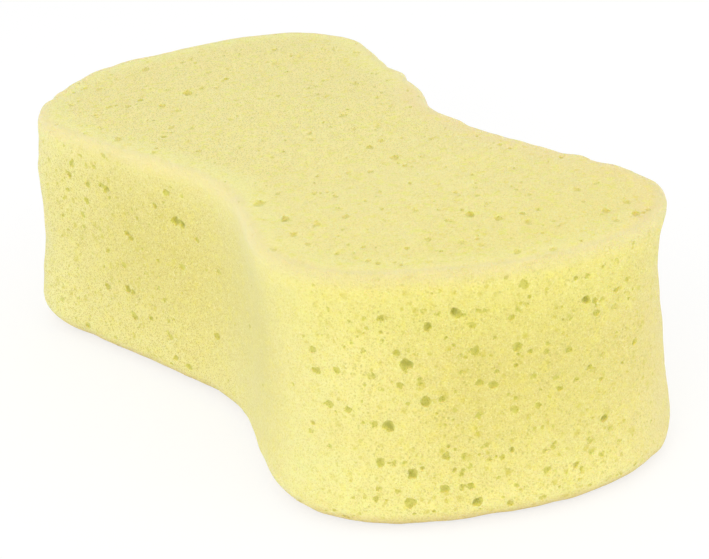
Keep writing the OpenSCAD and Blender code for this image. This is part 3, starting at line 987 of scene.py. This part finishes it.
# the colours of the pores' painted shade, and of the pepper
PORE_SHADE, PORE_SHADE_FLAT = srgb(216, 212, 94), srgb(215, 209, 86)
PEPPER, PIT_SHADE = srgb(178, 172, 66), srgb(174, 176, 78)
freckle_colour = look.blend(flat_faces_lit, FRECKLE, FRECKLE_FLAT_LIT)
pore_shade_colour = look.blend(flat_faces_lit, PORE_SHADE, PORE_SHADE_FLAT)
colour = look.blend(look.times(freckle, by_face(0.78, 0.5)), colour, freckle_colour)
colour = look.blend(look.times(pepper, by_face(0.3, 0.12)), colour, PEPPER)
# painted shade: in a pore the colour is made greener and darker as the hollow's shade, and crumbs
# make it set in raggedly, from the lip down to 0.2 mm or so
hollow = look.span(look.sum("MULTIPLY_ADD", crumbs, -0.2, depth), -0.03, 0.19)
hollow = look.times(hollow, by_face(1.0, 0.72))
colour = look.blend(look.times(hollow, 0.68), colour, pore_shade_colour)
# painted shade, darker still deep down in a pore
deep_pore_shade = look.sum("MAXIMUM", look.span(depth, 0.45, 1.2), look.times(hollow, fine))
colour = look.blend(look.times(deep_pore_shade, 0.37), colour, PIT_SHADE)
print("pores:", len(look.nodes), "nodes")

# %% Crust and painted light along the rim, painted shade along the foot
CRUST_AND_RIM_LIGHT, CRUST_SHADED_NARROW, FOOT_SHADE = srgb(241, 227, 168), srgb(230, 219, 163), srgb(228, 202, 138)
# along the rim the colour is partly the flattened foam's own tone and partly painted light, the
# washed-out look of the thin edge; on the narrow lobe the rim is painted darker, as shade
rim_crust_and_light = look.blend(across("X", 50, 85), CRUST_AND_RIM_LIGHT, CRUST_SHADED_NARROW)
colour = look.blend(look.span(to_rim, 4.0, 0.5, 0.0, 0.75), colour, rim_crust_and_light)
# painted shade: low down, where the foot curves under towards the floor, the wall is painted
# darker and browner
colour = look.blend(across("Z", 5.5, 1.0, 0.0, 0.75), colour, FOOT_SHADE)
print("colour in all:", len(look.nodes), "nodes")

# %% [markdown]
# ### Relief and shader
# The struts between the cells are too fine to model, so the grain, a soft unevenness and the
# freckles' dents are left to bump. The shader is matt, and all its light sinks a few
# millimetres in: red and green travel far in such foam and blue much less, which keeps its
# shades yellow. A faint sheen stands for the struts' ends, which catch light from the side.

# %% Relief
relief = look.times(grain, 0.2)
relief = look.sum("ADD", relief, look.times(noisy(2.2), 0.25))
relief = look.sum("SUBTRACT", relief, look.times(freckle, 0.3))
bump = look.put("ShaderNodeBump", {"Height": relief, "Distance": MM, "Strength": 0.9})
print("with relief:", len(look.nodes), "nodes")

# %% The foam shader
foam_shader = look.put(
    "ShaderNodeBsdfPrincipled",
    {
        "Base Color": colour, "Roughness": 0.95, "Normal": bump.outputs[0],
        "Subsurface Weight": 1.0, "Subsurface Radius": (1.0, 0.85, 0.35),
        "Subsurface Scale": 3.5 * MM,
        "Specular IOR Level": 0.15, "Sheen Weight": 0.08, "Sheen Roughness": 0.5,
        "Sheen Tint": srgb(255, 236, 190),
    },
)
output = look.put("ShaderNodeOutputMaterial", {"Surface": foam_shader.outputs[0]})
foam.data.materials.clear()
foam.data.materials.append(look.material)
print(look.material.name, "is done, with", len(look.nodes), "nodes")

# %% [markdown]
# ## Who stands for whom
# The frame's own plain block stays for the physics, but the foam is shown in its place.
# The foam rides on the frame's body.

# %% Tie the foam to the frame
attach(foam, "root")
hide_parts("foam_block")
print(foam.name, "stands for foam_block")

# %% [markdown]
# ## Floor and light
# The sponge lies on a white table in a white room. The room lights it evenly from all
# sides. One large soft lamp gives the shape a bright side, and a weaker one fills in from
# behind the narrow lobe. The floor is white to the camera and pale to the light, and it
# keeps the soft shadow under the sponge.

# %% Floor
FLOOR_HALF = 3000
# a hair lower than the foam, so that the two faces don't share one plane
FLOOR_DROP = 0.05
# the paint as it passes light on and as the camera sees it, and the glow that it has there
PAINT_TO_LIGHT, PAINT_SEEN, GLOW_SEEN = (0.92, 0.92, 0.92, 1), (0.3, 0.3, 0.3, 1), 0.72
table = Finish("white_table")
seen = table.put("ShaderNodeLightPath").outputs["Is Camera Ray"]
shade = table.blend(seen, PAINT_TO_LIGHT, PAINT_SEEN)
paint = table.put("ShaderNodeBsdfDiffuse", {"Color": shade})
glow = table.put("ShaderNodeEmission", {"Strength": table.times(seen, GLOW_SEEN)})
both = table.put("ShaderNodeAddShader", {0: paint.outputs[0], 1: glow.outputs[0]})
table.put("ShaderNodeOutputMaterial", {"Surface": both.outputs[0]})
quarters = [(-1, -1), (1, -1), (1, 1), (-1, 1)]
floor = mesh_from(
    "floor", [(x * FLOOR_HALF, y * FLOOR_HALF, 0) for x, y in quarters], [(0, 1, 2, 3)])
floor.location.z = -FLOOR_DROP * MM
floor.data.materials.append(table.material)
print("the floor is", 2 * FLOOR_HALF * MM, "m wide")

# %% Room
# how strongly the room lights the sponge, and how white it looks to the camera
ROOM_LIGHT, ROOM_WHITE = 1.05, 1.0
world = bpy.data.worlds.new("white_room")
bpy.context.scene.world = world
world.use_nodes = True
wn, wl = world.node_tree.nodes, world.node_tree.links
wn.clear()
ray = wn.new("ShaderNodeLightPath")
level = wn.new("ShaderNodeMapRange")
level.inputs["To Min"].default_value = ROOM_LIGHT
level.inputs["To Max"].default_value = ROOM_WHITE
wl.new(ray.outputs["Is Camera Ray"], level.inputs["Value"])
air = wn.new("ShaderNodeBackground")
wl.new(level.outputs[0], air.inputs["Strength"])
wl.new(air.outputs[0], wn.new("ShaderNodeOutputWorld").inputs["Surface"])
print("the room has", len(wn), "nodes")


# %% Lamps
def lamp(name, power, size, place, aim):
    """A square soft lamp: its power in watts, its side and places in metres."""
    light = bpy.data.lights.new(name, "AREA")
    light.energy, light.size = power, size
    holder = bpy.data.objects.new(name, light)
    holder.location = place
    holder.rotation_euler = (Vector(aim) - Vector(place)).to_track_quat("-Z", "Y").to_euler()
    bpy.context.scene.collection.objects.link(holder)
    return holder


MIDDLE = (0, 0, 0.03)
lamps = [
    lamp("soft_box", 8.0, 0.9, (1.0, -1.15, 0.9), MIDDLE),
    lamp("side_box", 3.0, 0.9, (1.1, 1.0, 0.5), MIDDLE),
]
print("lamps:", [(holder.name, holder.data.energy) for holder in lamps])

# %% [markdown]
# ## Camera
# The camera stands close to the narrow lobe, a bit above it, and is held a few degrees out
# of level. Standing close makes the near lobe look large and the far one small.

# %% Camera
# angles round, above and out of level; metres away, and the lens in millimetres
AROUND, ABOVE, ROLL = math.radians(61.68), math.radians(23.45), math.radians(-4.0)
DISTANCE, LENS, SENSOR = 0.4548, 87.74, 36
target = Vector((25.7, -4.9, HEIGHT / 2)) * MM
back = Vector((
    math.sin(AROUND) * math.cos(ABOVE), -math.cos(AROUND) * math.cos(ABOVE), math.sin(ABOVE)
))
right = Vector((math.cos(AROUND), math.sin(AROUND), 0))
up = back.cross(right)
rolled_right = math.cos(ROLL) * right + math.sin(ROLL) * up
rolled_up = math.cos(ROLL) * up - math.sin(ROLL) * right
camera_data = bpy.data.cameras.new("camera")
camera_data.lens, camera_data.sensor_width, camera_data.clip_start = LENS, SENSOR, 0.01
camera = bpy.data.objects.new("camera", camera_data)
axes = Matrix((rolled_right, rolled_up, back)).transposed()
camera.matrix_world = Matrix.Translation(target + back * DISTANCE) @ axes.to_4x4()
bpy.context.scene.collection.objects.link(camera)
bpy.context.scene.camera = camera
bpy.context.scene.view_settings.view_transform = "Standard"
print("the camera is at", tuple(round(c, 3) for c in camera.matrix_world.translation), "m")
